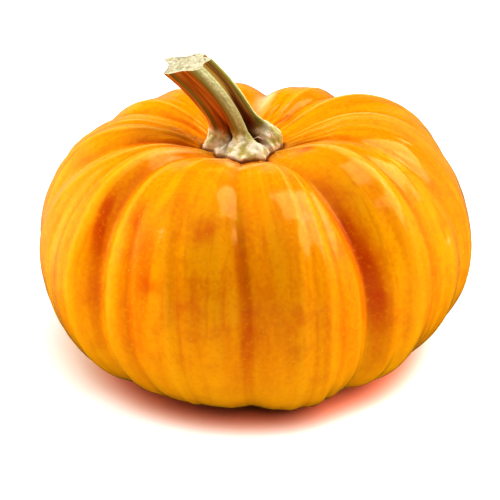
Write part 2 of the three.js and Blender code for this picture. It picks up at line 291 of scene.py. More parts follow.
# The stem's relief: size across, height and seed, all but the seed in mm.
FIBRE = {"size": 0.8, "height": 0.2, "seed": 2.2}
BROAD_FIBRE = {"size": 2.2, "height": 0.35, "seed": 8.1}
FIBRE_GRAIN = {"round": 9.0, "along": 14.0}  # the radius they lie on, and their stretch
CORK = [(2.4, 1.0, 15.1), (1.1, 0.5, 22.7)]  # here a share of the next in place of a height
CORK_HEIGHT = 0.6
CUT_TEAR = [(1.3, 0.5, 31.0), (3.5, 0.6, 12.0)]
CUT_HOLLOW = 0.5  # how far the cut face sinks inside its rim
CUT_DIP = 0.6  # and at its middle
CUT_EDGE = {"torn": 6, "sunk": 4}  # powers: the higher, the closer each comes to the rim
TOE_HEIGHT = 9.0  # how high the cork of the toes climbs
TOE_CALM = 0.5  # share of the broad fibres' height that is lost on the toes
END_CALM = 1.5  # height over the foot's rim at which the relief is full
SEAM_HEIGHT = 1.6  # of the red-brown band of painted contact shade where the foot meets the skin

STEM_ROWS = 230
STEM_ROW_CROWDING = 1.15  # over 1 crowds the rows towards the foot
STEM_CREST_COLUMNS = 14
STEM_HOLLOW_COLUMNS = 30
STEM_COLUMNS = STEM_CREST_COLUMNS + STEM_HOLLOW_COLUMNS  # for each ridge with its hollow
STEM_SPARE = {"foot": 7.0, "cut": 12.0}  # length made past each end before it is trimmed
STEM_SECTIONS = 260
CORNER_PASSES = 3  # of smoothing, which round the corners of a section
CUT_RINGS = 40
FOOT_SINK = 0.6  # how far the foot's rim is let into the skin
SEAT_PROBE = 40.0  # how far over the stem a search for the skin under it starts

# Loose curls of fibre: where each starts, how far it runs, how wide it curls and its turns.
FIBRE_CURLS = [
    ((6.5, -12.2, 46.0), (3.0, -1.2, 1.6), 1.1, 5),
    ((8.5, -11.0, 47.5), (2.4, 0.4, -2.2), 0.9, 4),
    ((3.0, -13.8, 46.2), (5.5, 0.2, 0.4), 0.6, 6),
    ((9.5, -9.8, 44.5), (1.5, -0.6, 3.0), 1.0, 3),
]
CURL_STEPS = 36
CURL_SIDES = 6
CURL_RADIUS = 0.27
CURL_TIP = 0.35  # radius at a curl's ends, as a share of its widest
CURL_ACROSS = (0.1, 0.9, 0.2)  # a direction that no curl runs in

# ---------------------------------------------------------------- the view

VIEW_ELEVATION = 24.7
VIEW_DISTANCE = 0.8  # metres
VIEW_AIM = (1.74, 0.0, -6.36)  # from the fruit's middle, in mm
FOCAL_PIXELS = 2032.8  # the lens's focal length, where the frame is this many wide:
FRAME_PIXELS = 500
SENSOR_WIDTH = 36.0
CONTRAST_GAMMA = 0.7  # the bright, open contrast of a white studio

# The surround's light by direction. Each gradient has its axis, the two values of the
# direction between which it runs, and the share of the light at either end; the gradients
# of one light are multiplied. "across" is the size of X: the same to both sides.
BEHIND = [("Y", -0.3, 0.3, 0.05, 0.6)]
FLANKS = [
    ("across", 0.5, 0.95, 0.0, 8.2),
    ("Y", -0.25, 0.15, 0.0, 1.0),
    ("X", -0.5, 0.5, 0.89, 0.69),
]
OVERHEAD = [("Z", 0.6, 1.0, 0.0, 1.0)]
OVERHEAD_LIGHT = 1.85
BACKDROP_LIGHT = 1.05

# What the gloss of the skin mirrors in it: a curved white cove behind, dark all round.
COVE = [
    ("Y", 0.1, 0.6, 0.0, 1.0),
    ("Z", 0.5, 0.2, 0.0, 1.0),
    ("Z", -0.6, -0.25, 0.0, 1.0),
    ("X", 0.8, -0.4, 0.35, 1.0),
]
COVE_LIGHT = (0.008, 0.5)  # round it and in it

# Panes of a tall window that only the gloss of the skin mirrors: compass and elevation in
# degrees (compass 0 is behind the fruit and 90 to its right), width and height in metres.
WINDOW_PANES = [
    ("rear_pane", 52, 49, 0.6, 0.9),
    ("front_pane", 84, 37, 0.66, 0.56),
]
PANE_DISTANCE = 1.2
PANE_POWER = 12.0  # watts for each square metre
PANE_COLOUR = (1.0, 0.97, 0.8)

# The lamp over the table: compass, elevation, distance, width, height and power.
TABLE_LAMP = (152, 51, 1.5, 1.6, 1.3, 38)
LAMP_AIM = (0.0, 0.0, 0.06)
TABLE_REACH = 6.0  # metres from its middle to its sides
# The skin's red light painted on the table: the radii in mm where it starts and is full.
CONTACT_GLOW = (72.0, 50.0)


# ---------------------------------------------------------------- shape helpers


def wrap(angle):
    """An angle brought between -pi and pi."""
    return (angle + np.pi) % (2 * np.pi) - np.pi


def turned(azimuth, base_turn, crown_turn, rise):
    """The azimuth, in radians, of a line along the ribs at each level."""
    turn = np.where(rise < 0, base_turn, crown_turn)
    return np.radians(azimuth + turn * rise**2)


def level_values(level):
    """The radius before the furrows at each level, and how far it has risen, -1 to 1."""
    radius = FRUIT_RADIUS * np.cos(level)
    squareness = np.where(level >= 0, CROWN["squareness"], BASE["squareness"])
    climb = np.sqrt(np.clip(1 - (radius / FRUIT_RADIUS) ** squareness, 0, 1))
    return radius, np.where(level >= 0, climb, -climb)


def profile_height(level, radius, rise):
    """The height over the fruit's middle before the furrows, with the hollows of both poles."""
    upper = level >= 0
    half = np.where(upper, CROWN["height"], BASE["height"])
    roundness = np.where(upper, CROWN["roundness"], BASE["roundness"])
    height = np.sign(rise) * half * np.abs(rise) ** roundness
    dimple = STEM_DIMPLE["depth"] * np.exp(-((radius / STEM_DIMPLE["width"]) ** 2))
    blossom = BLOSSOM_DIMPLE["depth"] * np.exp(-((radius / BLOSSOM_DIMPLE["width"]) ** 2))
    scar = BLOSSOM_SCAR["height"] * np.exp(-((radius / BLOSSOM_SCAR["width"]) ** 4))
    return height + np.where(upper, -dimple, blossom - scar)


def furrow_depth(azimuth, rise):
    """How deep the furrows cut at a place, as a share of the radius."""
    rounding = math.radians(FURROW_ROUNDING)
    lines = [(*furrow[:4], furrow[6]) for furrow in FURROWS] + CREASES
    total = np.zeros_like(azimuth)
    for centre, base_turn, crown_turn, width, (at_base, at_widest, at_crown) in lines:
        away = wrap(azimuth - turned(centre, base_turn, crown_turn, rise))
        softened = np.hypot(away, rounding) - rounding
        at_end = np.where(rise < 0, at_base, at_crown)
        depth = at_widest + (at_end - at_widest) * np.abs(rise)
        total += depth * np.exp(-softened / math.radians(width))
    return total * PERCENT


def furrow_flush_and_shade(azimuth, rise):
    """Where the rind is a deeper orange: along the furrows, from 0 to about 1."""
    # a deeper orange of the rind in the furrows, which is partly painted shade
    strength = np.zeros_like(azimuth)
    for furrow in FURROWS:
        centre, base_turn, crown_turn, width = furrow[:4]
        away = wrap(azimuth - turned(centre, base_turn, crown_turn, rise))
        depth = furrow[6][1] + (furrow[6][2] - furrow[6][1]) * np.clip(rise, 0, 1)
        spread = math.radians(width * FLUSH_SPREAD)
        strength += depth / DEEP_FURROW * np.exp(-((away / spread) ** 2))
    return strength * window(rise, *FLUSH_RISE)


def bands(table, azimuth, level, rise):
    """Where the bands of a table lie on the rind, 0 to 1."""
    strength = np.zeros_like(azimuth)
    for centre, base_turn, crown_turn, left, right, amount, lowest, highest in table:
        away = np.degrees(wrap(azimuth - turned(centre, base_turn, crown_turn, rise)))
        across = np.exp(-((away / np.where(away < 0, left, right)) ** 4))
        strength += amount * across * window(np.degrees(level), lowest, highest, BAND_SOFT)
    return np.clip(strength, 0, 1)


def plan_factor(azimuth, rise):
    """How far the lopsided plan reaches at each azimuth, as a share of the radius."""
    factor = np.ones_like(azimuth)
    for count, share, centre, base_share, base_centre in PLAN_WAVES:
        factor += share * np.cos(count * (azimuth - math.radians(centre)))
        factor -= rise * base_share * np.cos(count * (azimuth - math.radians(base_centre)))
    return factor


def skin_grid():
    """Points of the skin before its relief, with the azimuth, level and rise of each."""
    spans = [(FURROWS[(i + 1) % len(FURROWS)][0] - f[0]) % 360 for i, f in enumerate(FURROWS)]
    level = np.radians(np.linspace(-90, 90, SKIN_ROWS + 2)[1:-1])[:, None]
    radius, rise = level_values(level)
    azimuths = []
    bulges = []
    for rib, furrow in enumerate(FURROWS):
        following = FURROWS[(rib + 1) % len(FURROWS)]
        start = turned(*furrow[:3], rise)
        span = (turned(*following[:3], rise) - start) % (2 * np.pi)
        count = round(SKIN_COLUMNS * spans[rib] / 360)
        step = np.arange(count)[None, :] / count
        across = step - FURROW_CROWDING * np.sin(2 * np.pi * step)
        azimuths.append(start + across * span)
        bulges.append(PERCENT * (furrow[4] - furrow[5] * rise) * np.sin(np.pi * across) ** 2)
    azimuth = np.concatenate(azimuths, axis=1)
    bulge = np.concatenate(bulges, axis=1)

    fade = 1 - np.exp(-((radius / FURROW_FADE) ** 2))
    cut = 1 - fade * furrow_depth(azimuth, rise)
    height = profile_height(level, radius, rise) * cut
    reach = radius * (cut + fade * bulge) * plan_factor(azimuth, rise)
    shift = height / CROWN["height"]
    points = np.stack(
        [
            reach * np.sin(azimuth) + CROWN_SHIFT[0] * shift,
            -reach * np.cos(azimuth) + CROWN_SHIFT[1] * shift,
            height,
        ],
        axis=-1,
    )
    shape = azimuth.shape
    return points, azimuth, np.broadcast_to(level, shape), np.broadcast_to(rise, shape)


def grid_normals(points):
    """Outward normals of a grid whose columns run round it and whose rows climb it."""
    round_it = np.roll(points, -1, axis=1) - np.roll(points, 1, axis=1)
    up_it = np.gradient(points, axis=0)
    normals = np.cross(round_it, up_it)
    return normals / np.maximum(np.linalg.norm(normals, axis=-1, keepdims=True), 1e-9)


def noise_over(places, size, seed):
    """Smooth noise, about -1 to 1, whose lumps are as wide as size."""
    flat = (places / size + seed).reshape(-1, 3)
    values = [noise.noise(Vector(place)) for place in flat.tolist()]
    return np.array(values).reshape(places.shape[:-1])


def streak_places(azimuth, points, stretch):
    """Places for noise drawn out along the ribs by stretch, with no seam."""
    out = np.hypot(points[..., 0], points[..., 1])
    along = points[..., 2] * STREAK_RUN["up"] + out * STREAK_RUN["out"]
    return np.stack(
        [
            FRUIT_RADIUS * np.sin(azimuth),
            -FRUIT_RADIUS * np.cos(azimuth),
            along / stretch,
        ],
        axis=-1,
    )


def window(values, low, high, soft):
    """1 between low and high, fading to 0 over soft outside them."""
    rising = 1 / (1 + np.exp(-(values - low) / soft))
    falling = 1 / (1 + np.exp((values - high) / soft))
    return rising * falling


def make_mesh(name, vertices, faces, masks, places=None):
    """A smooth piece from vertices in mm, with mask values and places at each vertex."""
    mesh = bpy.data.meshes.new(name)
    mesh.from_pydata((np.asarray(vertices) * MM).tolist(), [], faces)
    for mask, values in masks.items():
        layer = mesh.attributes.new(mask, "FLOAT", "POINT")
        layer.data.foreach_set("value", np.ascontiguousarray(values, dtype=np.float32))
    for place, vectors in (places or {}).items():
        layer = mesh.attributes.new(place, "FLOAT_VECTOR", "POINT")
        layer.data.foreach_set("vector", np.ascontiguousarray(vectors, dtype=np.float32).ravel())
    mesh.validate()
    mesh.update()
    mesh.shade_smooth()
    piece = bpy.data.objects.new(name, mesh)
    bpy.context.scene.collection.objects.link(piece)
    return piece


def grid_faces(rows, columns, first=0):
    """Quads joining the rows of a closed grid."""
    faces = []
    for row in range(rows - 1):
        low = first + row * columns
        for i in range(columns):
            j = (i + 1) % columns
            faces.append((low + i, low + j, low + columns + j, low + columns + i))
    return faces


# ---------------------------------------------------------------- the fruit


def fine_lines(azimuth, level):
    """Height in mm of the fine lines along the ribs."""
    _, rise = level_values(level)
    relief = np.zeros_like(azimuth)
    for centre, base_turn, crown_turn, height, width, lowest, highest in FINE_LINES:
        away = wrap(azimuth - turned(centre, base_turn, crown_turn, rise))
        line = np.exp(-((away / math.radians(width)) ** 2))
        relief += height * line * window(np.degrees(level), lowest, highest, LINE_SOFT)
    return relief


def fine_relief(azimuth, level, points):
    """Height in mm of the low relief over the skin."""
    relief = fine_lines(azimuth, level)
    for pattern in (SWELLING, STREAK):
        places = streak_places(azimuth, points, pattern["stretch"])
        relief += pattern["height"] * noise_over(places, pattern["size"], pattern["seed"])
    relief += DENTS["height"] * noise_over(points, DENTS["size"], DENTS["seed"])

    radius = np.hypot(points[..., 0], points[..., 1])
    ring = np.exp(-(((radius - WRINKLES["radius"]) / WRINKLES["spread"]) ** 2))
    wander = noise_over(points, WRINKLE_WANDER["size"], WRINKLE_WANDER["seed"])
    wander *= WRINKLE_WANDER["amount"]
    wrinkle = np.sin(WRINKLES["count"] * azimuth + WRINKLE_WANDER["turn"] * wander)
    wrinkle *= WRINKLE_WANDER["least"] + wander
    relief += WRINKLES["height"] * ring * (level > 0) * wrinkle
    calm, full = CALM_POLE
    return relief * np.clip((radius - calm) / (full - calm), 0, 1)


def spot_mask(azimuth, level, spots):
    """Soft spots on the skin: azimuth, level, size along the rib and across it."""
    mask = np.zeros_like(azimuth)
    for centre, height, along, across in spots:
        sideways = wrap(azimuth - math.radians(centre)) * FRUIT_RADIUS * np.cos(level)
        upwards = (level - math.radians(height)) * FRUIT_RADIUS
        mask += np.exp(-((sideways / across) ** 2) - (upwards / along) ** 2)
    return np.clip(mask, 0, 1)


def fit_in_box(points):
    """Draws the skin in to the sides of the solid fruit's box, and none of it sinks below."""
    low, high = (np.array(corner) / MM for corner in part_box("fruit"))
    for axis in (0, 1):
        within = (low[axis] + BOX_MARGIN, high[axis] - BOX_MARGIN)
        extent = (points[..., axis].min(), points[..., axis].max())
        points[..., axis] = np.interp(points[..., axis], extent, within)
    points[..., 2] = np.maximum(points[..., 2], 0)
    return points


def pole_point(end):
    """The skin's point at one end of its axis: -90 at the blossom end, 90 at the stem."""
    level = np.radians(np.array([[end]]))
    radius, rise = level_values(level)
    height = profile_height(level, radius, rise)[0, 0]
    shift = height / CROWN["height"]
    return np.array([CROWN_SHIFT[0] * shift, CROWN_SHIFT[1] * shift, height])


def seat_mask(points, level, stem_rim, middle):
    """The edge of the rind round the stem's foot, 0 to 1."""
    # painted contact shade round the stem's foot
    near = np.hypot(points[..., 0] - middle[0], points[..., 1] - middle[1]) < SEAT["reach"]
    near &= level > 0
    mask = np.zeros(level.shape)
    for row, column in zip(*np.nonzero(near)):
        distance = np.linalg.norm(stem_rim - points[row, column], axis=1).min()
        mask[row, column] = math.exp(-((distance / SEAT["soft"]) ** 2))
    return mask


def make_fruit(middle, stem_rim):
    """The fruit's skin with its low relief, and the masks that its finish reads."""
    points, azimuth, level, rise = skin_grid()
    relief = fine_relief(azimuth, level, points)
    points = fit_in_box(points + grid_normals(points) * relief[..., None] + middle)

    rows, columns = azimuth.shape
    flat = points.reshape(-1, 3)
    vertices = np.vstack([flat, pole_point(-90.0) + middle, pole_point(90.0) + middle])
    bottom, top = len(flat), len(flat) + 1
    last = (rows - 1) * columns
    faces = grid_faces(rows, columns)
    for i in range(columns):
        j = (i + 1) % columns
        faces.append((bottom, j, i))
        faces.append((top, last + i, last + j))

    rib_places = streak_places(azimuth, points, COLOUR_STREAK["stretch"])
    scars = [(centre, at, length, length * SCAR_WIDTH) for centre, at, length in SCARS]
    masks = {
        "furrow": furrow_flush_and_shade(azimuth, rise),
        # deep red rind and painted shade beside the deep furrows and in the hollow by the stem
        "red_and_shade": np.maximum(
            bands(RED_AND_SHADE_BANDS, azimuth, level, rise),
            RED_SHADE_SHARE * spot_mask(azimuth, level, RED_SHADE_SPOTS),
        ),
        "dull_band": bands(DULL_BANDS, azimuth, level, rise),
        "fine_line": fine_lines(azimuth, level),
        "streak": noise_over(rib_places, COLOUR_STREAK["size"], COLOUR_STREAK["seed"]),
        "blush": spot_mask(azimuth, level, BLUSHES),
        "scar": spot_mask(azimuth, level, scars),
        "painted_sheen": spot_mask(azimuth, level, SHEEN_PATCHES),
        "seat": seat_mask(points, level, stem_rim, middle),
        "underside": np.clip((UNDERSIDE_TOP - points[..., 2]) / UNDERSIDE_TOP, 0, 1),
        "crown": np.clip(rise, 0, 1) ** 2,
    }
    masks = {name: np.append(values.ravel(), [0, 0]) for name, values in masks.items()}
    rib_places = np.vstack([rib_places.reshape(-1, 3), np.zeros((2, 3))])
    return make_mesh("pumpkin_skin", vertices, faces, masks, {"rib_place": rib_places})


# ---------------------------------------------------------------- the stem


def stem_frame(height):
    """The stem's axis at a height over its foot, and its sideways direction there."""
    slope = math.tan(math.radians(LEAN_AT_FOOT))
    bend = (math.tan(math.radians(LEAN_AT_CUT)) - slope) / CUT_HEIGHT
    above = max(height, 0.0)
    lean = math.atan(slope + bend * above)
    centre = np.array([-(slope * height + bend * above**2 / 2), 0, height]) + STEM_FOOT
    return centre, np.array([math.cos(lean), 0, math.sin(lean)])


def polar(angle, reach):
    """A place round the stem's axis."""
    return np.stack([reach * np.sin(angle), -reach * np.cos(angle)], axis=-1)


def stem_section(height):
    """Offsets from the axis round one section, with each column's place on its ridge."""
    along = max(0.0, height / CUT_HEIGHT)
    crests = []
    for foot_angle, cut_angle, foot_reach, cut_reach, toe_height, crest in RIDGES:
        toe = math.exp(-((max(height, 0.0) / toe_height) ** 2))
        reach = cut_reach + (foot_reach - cut_reach) * toe
        angle = math.radians(foot_angle + (cut_angle - foot_angle) * along)
        crests.append((angle, reach, crest * (1 + CREST_BROADENING * toe) / 2 / reach))
    crevice = math.exp(-(((height - CREVICE["height"]) / CREVICE["spread"]) ** 2))
    hollow = HOLLOW + CREVICE["depth"] * crevice

    offsets = []
    for i, (angle, reach, half_width) in enumerate(crests):
        next_angle, next_reach, next_half = crests[(i + 1) % len(crests)]
        t = np.arange(STEM_CREST_COLUMNS) / STEM_CREST_COLUMNS
        offsets.append(polar(angle + half_width * (2 * t - 1), reach))
        t = np.arange(STEM_HOLLOW_COLUMNS) / STEM_HOLLOW_COLUMNS
        start = polar(angle + half_width, reach)
        end = polar(next_angle - next_half, next_reach)
        chord = start + (end - start) * t[:, None]
        length = np.linalg.norm(chord, axis=1, keepdims=True)
        groove_at, groove_width, groove_depth, lowest, highest = GROOVES[i]
        groove = groove_depth * np.exp(-(((t - groove_at) / groove_width) ** 2))
        groove *= window(height, lowest, highest, GROOVE_SOFT)
        sunk = hollow * np.sin(np.pi * t) + groove
        offsets.append(chord * (1 - sunk[:, None] / length))
    section = np.concatenate(offsets)
    for _ in range(CORNER_PASSES):
        section = (np.roll(section, 1, 0) + 2 * section + np.roll(section, -1, 0)) / 4
    return section


def stem_point(height, offsets):
    """Points of the section at a height, from their offsets."""
    centre, side = stem_frame(height)
    return centre + offsets[:, :1] * side + offsets[:, 1:] * np.array([0, 1, 0])


def column_masks():
    """For each column round the stem: 1 on a crest, and its place across the hollow."""
    crest = []
    across = []
    for corkiness in CREST_CORK:
        crest += [corkiness] * STEM_CREST_COLUMNS
        across += [0.0] * STEM_CREST_COLUMNS
        t = np.arange(STEM_HOLLOW_COLUMNS) / STEM_HOLLOW_COLUMNS
        crest += (corkiness * (1 - np.sin(np.pi * t) ** CORK_CREEP)).tolist()
        across += t.tolist()
    return np.array(crest), np.array(across)


def cut_distance(points):
    """How far points lie above the cut face, whose surface is torn and a little hollow."""
    front, left = math.radians(CUT_TILT_FRONT), math.radians(CUT_TILT_LEFT)
    normal = np.array([-math.sin(left), -math.sin(front), math.cos(front) * math.cos(left)])
    normal /= np.linalg.norm(normal)
    centre, _ = stem_frame(CUT_HEIGHT)
    relative = points - centre
    rise = (relative[:, 0] - relative[:, 1]) / CUT_LIFT["span"]
    return relative @ normal - CUT_LIFT["height"] * np.clip(rise, CUT_LIFT["lowest"], 1)


def trim_columns(sections, heights, distance):
    """The height at which each column first passes above a surface."""
    values = np.array([distance(stem_point(h, s)) for h, s in zip(heights, sections)])
    ends = []
    for column in range(values.shape[1]):
        over = np.nonzero(values[:, column] > 0)[0]
        i = max(1, int(over[0])) if len(over) else len(heights) - 1
        before, after = values[i - 1, column], values[i, column]
        share = np.clip(-before / (after - before + 1e-9), 0, 1)
        ends.append(heights[i - 1] + share * (heights[i] - heights[i - 1]))
    return np.array(ends)


def stem_skirt(plain_skin, middle):
    """Sections of the stem, and the heights where each column meets the skin and the cut."""
    heights = np.linspace(-STEM_SPARE["foot"], CUT_HEIGHT + STEM_SPARE["cut"], STEM_SECTIONS)
    sections = [stem_section(h) for h in heights]

    def above_skin(points):
        result = []
        for point in points + middle:
            start = Vector(point) + Vector((0, 0, SEAT_PROBE))
            hit = plain_skin.ray_cast(start, Vector((0, 0, -1)))
            result.append(point[2] - (hit[0].z if hit[0] else 0))
        return np.array(result)

    low = trim_columns(sections, heights, above_skin)
    high = trim_columns(sections, heights, cut_distance)
    return heights, np.array(sections), low, high


def section_at(heights, sections, column_heights):
    """The offsets of every column, each at a height of its own."""
    offsets = np.empty((len(column_heights), 2))
    for column, height in enumerate(column_heights):
        for axis in range(2):
            offsets[column, axis] = np.interp(height, heights, sections[:, column, axis])
    return offsets


def points_at(heights, sections, column_heights):
    """The point of every column, each at a height of its own."""
    offsets = section_at(heights, sections, column_heights)
    rows = [stem_point(h, offsets[i : i + 1])[0] for i, h in enumerate(column_heights)]
    return np.array(rows)


def stem_wall(skirt):
    """The stem's wall before its relief, with the height of each point on its axis."""
    heights, sections, low, high = skirt
    low = low - FOOT_SINK
    share = (np.arange(STEM_ROWS) / (STEM_ROWS - 1)) ** STEM_ROW_CROWDING
    height = low + (high - low) * share[:, None]
    return np.array([points_at(heights, sections, row) for row in height]), height


def foot_knobs(points, above):
    """How far the knobs of the foot stand out, in mm, and where they are, -1 for a pit to 1."""
    azimuth = np.arctan2(points[..., 0] - STEM_FOOT[0], -(points[..., 1] - STEM_FOOT[1]))
    relief = np.zeros_like(above)
    mask = np.zeros_like(above)
    for angle, height, size, out in KNOBS:
        sideways = wrap(azimuth - math.radians(angle)) * FOOT_RADIUS
        bump = np.exp(-((sideways / size) ** 2) - ((above - height) / size) ** 2)
        relief += out * bump
        mask += np.sign(out) * bump
    return relief, mask


def cut_face(rim):
    """Rings of the torn cut face from the stem's rim inwards, and its middle point."""
    centre = rim.mean(axis=0)
    rings = []
    for ring in range(1, CUT_RINGS):
        share = 1 - ring / CUT_RINGS
        level = centre + (rim - centre) * share
        torn = sum(height * noise_over(level, size, seed) for size, height, seed in CUT_TEAR)
        level[:, 2] += torn * (1 - share ** CUT_EDGE["torn"])
        level[:, 2] -= CUT_HOLLOW * (1 - share ** CUT_EDGE["sunk"])
        rings.append(level)
    return np.array(rings), centre - np.array([0, 0, CUT_DIP])


def hollow_slice(ridge):
    """The columns of the hollow that follows a ridge."""
    start = ridge * STEM_COLUMNS + STEM_CREST_COLUMNS
    return slice(start, start + STEM_HOLLOW_COLUMNS)


def groove_shade_mask(across, height):
    """The dark grooves between the ridges, 0 to 1."""
    # painted shade of the grooves
    mask = np.zeros_like(height)
    for ridge, (groove_at, groove_width, _, lowest, highest) in enumerate(GROOVES):
        own = hollow_slice(ridge)
        spread = GROOVE_SHADE["widening"] * groove_width
        dark = np.exp(-(((across[own] - groove_at) / spread) ** 2))
        mask[:, own] = dark * window(height[:, own], lowest, highest, GROOVE_SHADE["soft"])
    return mask


def shaded_facet_mask(across, height):
    """The duller facets on the stem's right-hand side, 0 to 1."""
    # the facets painted with shade
    mask = np.zeros_like(height)
    start, end, soft = (SHADED_FACETS[key] for key in ("start", "end", "soft"))
    for ridge in SHADED_FACETS["ridges"]:
        own = hollow_slice(ridge)
        mask[:, own] = window(across[own], start, end, soft)
    return mask


def border_mask(across):
    """The olive borders of the ridges, along both sides of each hollow, 0 to 1."""
    width = BORDERS["width"]
    sides = [np.exp(-(((across - edge) / width) ** 2)) for edge in BORDERS["across"]]
    return sum(sides) * (across > 0)


def make_stem(skirt, middle):
    """The stem's wall, cut face and foot, and the masks that its finish reads."""
    points, height = stem_wall(skirt)
    above = height - height[0]
    columns = points.shape[1]
    crest, across = column_masks()

    angle = np.broadcast_to(np.linspace(0, 2 * np.pi, columns, endpoint=False), height.shape)
    grain = FIBRE_GRAIN["round"]
    lines = [np.sin(angle) * grain, np.cos(angle) * grain, height / FIBRE_GRAIN["along"]]
    lines = np.stack(lines, axis=-1)
    fibre = noise_over(lines, FIBRE["size"], FIBRE["seed"])
    broad_fibre = noise_over(lines, BROAD_FIBRE["size"], BROAD_FIBRE["seed"])
    cork = sum(share * noise_over(points, size, seed) for size, share, seed in CORK)
    toe = np.exp(-((above / TOE_HEIGHT) ** 2))
    relief, knob_mask = foot_knobs(points, above)
    broad_height = BROAD_FIBRE["height"] * broad_fibre * (1 - TOE_CALM * toe)
    relief += FIBRE["height"] * fibre + broad_height
    relief += CORK_HEIGHT * cork * toe
    relief *= np.clip(above / END_CALM, 0, 1)
    wall = points + grid_normals(points) * relief[..., None]

    rings, tip = cut_face(wall[-1])
    floor = points[0].mean(axis=0)
    everything = np.vstack([wall.reshape(-1, 3), rings.reshape(-1, 3)])
    vertices = np.vstack([everything, tip, floor]) + middle
    rows = STEM_ROWS + len(rings)
    faces = grid_faces(rows, columns)
    last = (rows - 1) * columns
    top, bottom = len(everything), len(everything) + 1
    for i in range(columns):
        j = (i + 1) % columns
        faces.append((top, last + i, last + j))
        faces.append((bottom, j, i))

    wall_masks = {
        "crest": crest,
        "border": border_mask(across),
        "groove": groove_shade_mask(across, height),
        "toe": toe,
        "seam": np.exp(-((above / SEAM_HEIGHT) ** 2)),
        "fibre": fibre,
        "broad_fibre": broad_fibre,
        "knoll": np.clip(0.5 + KNOLL_SHARE * cork + KNOLL_SHARE * knob_mask, 0, 1),
        "facet_shade": shaded_facet_mask(across, height),
        "pit": np.clip(-knob_mask, 0, 1),
    }
    masks = {}
    for name, values in wall_masks.items():
        masks[name] = np.zeros(len(vertices))
        masks[name][: height.size] = np.broadcast_to(values, height.shape).ravel()
    masks["cut"] = np.ones(len(vertices))
    masks["cut"][: height.size] = 0
    masks["cut"][bottom] = 0
    masks["cut_rim"] = np.zeros(len(vertices))
    ring_share = 1 - np.arange(1, CUT_RINGS) / CUT_RINGS
    masks["cut_rim"][height.size : top] = np.repeat(ring_share, columns)
    low, high = (np.array(corner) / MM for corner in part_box("stem"))
    vertices = np.clip(vertices, low + BOX_MARGIN, high - BOX_MARGIN)
    return make_mesh("stem_wood", vertices, faces, masks)


def curl_path(start, run, curl, turns):
    """The middle line of a curl of fibre, which waves back and up as it runs."""
    t = np.linspace(0, 1, CURL_STEPS)
    wave = curl * np.sin(np.pi * t)
    path = np.array(start) + np.array(run) * t[:, None]
    path[:, 1] -= wave * np.abs(np.cos(turns * t))
    path[:, 2] += wave * np.sin(turns * t)
    return path


def make_fibres(middle):
    """Loose curls of fibre in the hollow over the right toe and beside the front ridge."""
    step = (np.arange(CURL_STEPS) + 2) / CURL_STEPS
    girth = CURL_TIP + (1 - CURL_TIP) * np.sin(np.pi * np.minimum(1, step))
    radius = CURL_RADIUS * girth[:, None, None]
    angle = (2 * np.pi * np.arange(CURL_SIDES) / CURL_SIDES)[None, :, None]
    vertices = []
    faces = []
    for row in FIBRE_CURLS:
        path = curl_path(*row)
        tangent = np.gradient(path, axis=0)
        tangent /= np.linalg.norm(tangent, axis=1, keepdims=True)
        across = np.cross(tangent, CURL_ACROSS)
        across /= np.linalg.norm(across, axis=1, keepdims=True)
        other = np.cross(tangent, across)
        outward = np.cos(angle) * across[:, None] + np.sin(angle) * other[:, None]
        first = len(vertices) * CURL_STEPS * CURL_SIDES
        vertices.append((path[:, None] + radius * outward).reshape(-1, 3))
        faces += grid_faces(CURL_STEPS, CURL_SIDES, first)
        last = first + (CURL_STEPS - 1) * CURL_SIDES
        faces.append(tuple(first + side for side in reversed(range(CURL_SIDES))))
        faces.append(tuple(last + side for side in range(CURL_SIDES)))
    return make_mesh("stem_fibres", np.vstack(vertices) + middle, faces, {})


# ---------------------------------------------------------------- materials


# A node's sockets are named, or numbered where two share a name. A MapRange reads the range
# from 1 to 2 and gives that from 3 to 4; a Mix has its share in 0 and what it mixes in 2
# and 3, or in 6 and 7 for colours; a Math node has its values in 0 and 1.
SMOOTH = {"interpolation_type": "SMOOTHSTEP"}
ASKEW = (0.4, 0.5, 0.6)  # turns a pattern so that it lines up with no flat of the surface

# For each finish, the piece's masks that it reads, and its patterns: the width of a pattern's
# cells in mm and its detail.
RIND_MASKS = [
    "furrow", "red_and_shade", "dull_band", "fine_line", "streak", "blush", "scar", "painted_sheen",
    "seat", "underside", "crown",
]
RIND_PATTERNS = {"mottle": (9.0, 5.0), "grain": (1.5, 5.0), "peel": (1.6, 2.0)}
FINE_STREAK = 2.4  # mm across the streaks of colour down the ribs
PORE_SPACING = 2.6  # mm; the pale pores are drawn coarser than they are, so that they show
STALK_MASKS = [
    "crest", "border", "groove", "toe", "seam", "fibre", "broad_fibre", "knoll",
    "facet_shade", "pit", "cut", "cut_rim",
]
STALK_PATTERNS = {"speckle": (1.1, 4.0), "patch": (5.0, 3.0), "grain": (0.6, 3.0)}
VESSEL_SPACING = 2.6  # mm between the vessel bundles of the cut face
BAST_PATTERNS = {"tint": (2.0, 2.0)}


def linear(colour):
    """An sRGB hex colour as linear red, green, blue and alpha."""
    channels = [int(colour[i : i + 2], 16) / 255 for i in (1, 3, 5)]
    return [c / 12.92 if c <= 0.04045 else ((c + 0.055) / 1.055) ** 2.4 for c in channels] + [1]


def per_metre(size_mm):
    """The scale of a pattern whose cells are size_mm wide."""
    return 1 / (size_mm * MM)


def add(tree, kind, settings=None, inputs=None, give=0):
    """Adds a node with its settings; inputs are values or the sockets to link from. It gives
    back the output that give names or numbers, or the node itself where give is None."""
    node = tree.nodes.new("ShaderNode" + kind)
    for name, value in (settings or {}).items():
        setattr(node, name, value)
    for name, value in (inputs or {}).items():
        if isinstance(value, bpy.types.NodeSocket):
            tree.links.new(value, node.inputs[name])
        else:
            node.inputs[name].default_value = value
    return node if give is None else node.outputs[give]


def new_material(name):
    """A new material and its empty tree of nodes."""
    material = bpy.data.materials.new(name)
    material.use_nodes = True
    material.node_tree.nodes.clear()
    return material, material.node_tree


